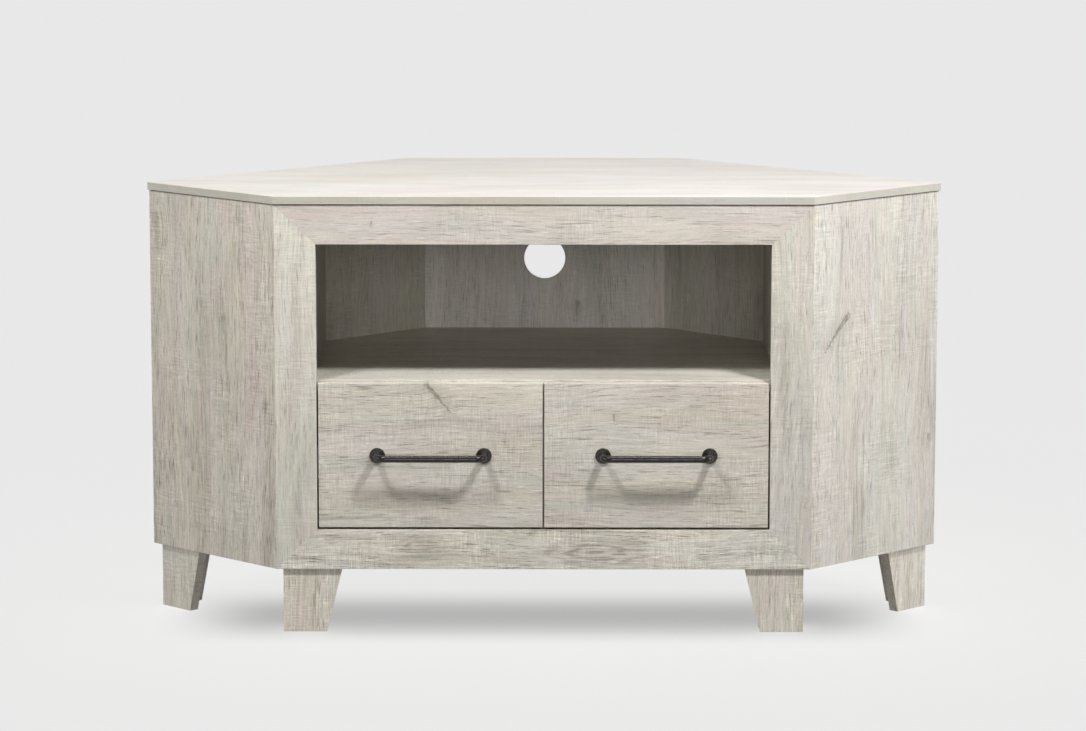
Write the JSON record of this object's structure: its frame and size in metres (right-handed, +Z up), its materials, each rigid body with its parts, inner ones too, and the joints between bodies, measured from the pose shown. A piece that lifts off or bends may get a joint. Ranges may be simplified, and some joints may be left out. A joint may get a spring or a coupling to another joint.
{
  "type": "corner media cabinet",
  "caption": "Corner media cabinet with a hexagonal plan, mitred face frame, open shelf with a cable hole, drawers side by side on ball slides, and tapered corner legs.",
  "frame": {"origin": "centre of the bounding box at floor level", "axes": "+X across the width to the viewer's right, +Y from the front to the back, +Z up"},
  "size_m": [1.2192, 0.6282, 0.661],
  "materials": {
    "washed_oak": "whitewashed grey oak laminate, satin, with a fine sawn texture",
    "drawer_board": "plain pale laminated board",
    "drawer_base": "thin fibreboard with a pale printed face",
    "block_wood": "sawn softwood",
    "dark_bronze": "dark gunmetal lacquer, satin",
    "slide_steel": "bright zinc plated sheet steel",
    "cage_steel": "pressed steel with polished balls",
    "zinc": "zinc plated"
  },
  "bodies": {
    "case": {"top_panel": "washed_oak", "upper_deck": "washed_oak", "frame_top_rail": "washed_oak", "frame_bottom_rail": "washed_oak", "bottom_panel": "washed_oak", "media_shelf": "washed_oak", "drawer_divider": "washed_oak", "centre_back_panel": "washed_oak", "frame_left_stile": "washed_oak", "left_side_panel": "washed_oak", "left_rear_panel": "washed_oak", "left_gable": "washed_oak", "frame_right_stile": "washed_oak", "right_side_panel": "washed_oak", "right_rear_panel": "washed_oak", "right_gable": "washed_oak", "left_front_leg_outer_board": "washed_oak", "left_front_leg_inner_board": "washed_oak", "right_front_leg_outer_board": "washed_oak", "right_front_leg_inner_board": "washed_oak", "left_side_leg_outer_board": "washed_oak", "left_side_leg_inner_board": "washed_oak", "right_side_leg_outer_board": "washed_oak", "right_side_leg_inner_board": "washed_oak", "left_rear_leg_outer_board": "washed_oak", "left_rear_leg_inner_board": "washed_oak", "right_rear_leg_outer_board": "washed_oak", "right_rear_leg_inner_board": "washed_oak", "leg_corner_blocks": "block_wood", "cam_fittings": "zinc", "large_screws": "zinc", "case_screws": "zinc", "slide_packers": "block_wood", "slide_cabinet_members": "slide_steel"},
    "left_drawer": {"left_drawer_front": "washed_oak", "left_drawer_outer_side": "drawer_board", "left_drawer_inner_side": "drawer_board", "left_drawer_back": "drawer_board", "left_drawer_bottom": "drawer_base", "left_handle_bar": "dark_bronze", "left_handle_rosettes": "dark_bronze", "left_handle_screws": "zinc", "left_slide_drawer_members": "slide_steel", "left_slide_drawer_screws": "zinc"},
    "left_slide_middle": {"left_slide_middle_members": "slide_steel"},
    "left_outer_cages": {"left_slide_outer_cages": "cage_steel"},
    "left_inner_cages": {"left_slide_inner_cages": "cage_steel"},
    "right_drawer": {"right_drawer_front": "washed_oak", "right_drawer_outer_side": "drawer_board", "right_drawer_inner_side": "drawer_board", "right_drawer_back": "drawer_board", "right_drawer_bottom": "drawer_base", "right_handle_bar": "dark_bronze", "right_handle_rosettes": "dark_bronze", "right_handle_screws": "zinc", "right_slide_drawer_members": "slide_steel", "right_slide_drawer_screws": "zinc"},
    "right_slide_middle": {"right_slide_middle_members": "slide_steel"},
    "right_outer_cages": {"right_slide_outer_cages": "cage_steel"},
    "right_inner_cages": {"right_slide_inner_cages": "cage_steel"}
  },
  "joints": [
    {"name": "left_drawer_slide", "type": "slide", "parent": "case", "child": "left_drawer", "axis": [0, -1, 0], "range_m": [0, 0.35]},
    {"name": "left_middle_slide", "type": "slide", "parent": "case", "child": "left_slide_middle", "axis": [0, -1, 0], "range_m": [0, 0.175]},
    {"name": "left_outer_cage_slide", "type": "slide", "parent": "case", "child": "left_outer_cages", "axis": [0, -1, 0], "range_m": [0, 0.0875]},
    {"name": "left_inner_cage_slide", "type": "slide", "parent": "case", "child": "left_inner_cages", "axis": [0, -1, 0], "range_m": [0, 0.2625]},
    {"name": "right_drawer_slide", "type": "slide", "parent": "case", "child": "right_drawer", "axis": [0, -1, 0], "range_m": [0, 0.35]},
    {"name": "right_middle_slide", "type": "slide", "parent": "case", "child": "right_slide_middle", "axis": [0, -1, 0], "range_m": [0, 0.175]},
    {"name": "right_outer_cage_slide", "type": "slide", "parent": "case", "child": "right_outer_cages", "axis": [0, -1, 0], "range_m": [0, 0.0875]},
    {"name": "right_inner_cage_slide", "type": "slide", "parent": "case", "child": "right_inner_cages", "axis": [0, -1, 0], "range_m": [0, 0.2625]}
  ],
  "couplings": [
    {"joint": "left_middle_slide", "follows": "left_drawer_slide", "ratio": 0.5},
    {"joint": "left_outer_cage_slide", "follows": "left_drawer_slide", "ratio": 0.25},
    {"joint": "left_inner_cage_slide", "follows": "left_drawer_slide", "ratio": 0.75},
    {"joint": "right_middle_slide", "follows": "right_drawer_slide", "ratio": 0.5},
    {"joint": "right_outer_cage_slide", "follows": "right_drawer_slide", "ratio": 0.25},
    {"joint": "right_inner_cage_slide", "follows": "right_drawer_slide", "ratio": 0.75}
  ]
}
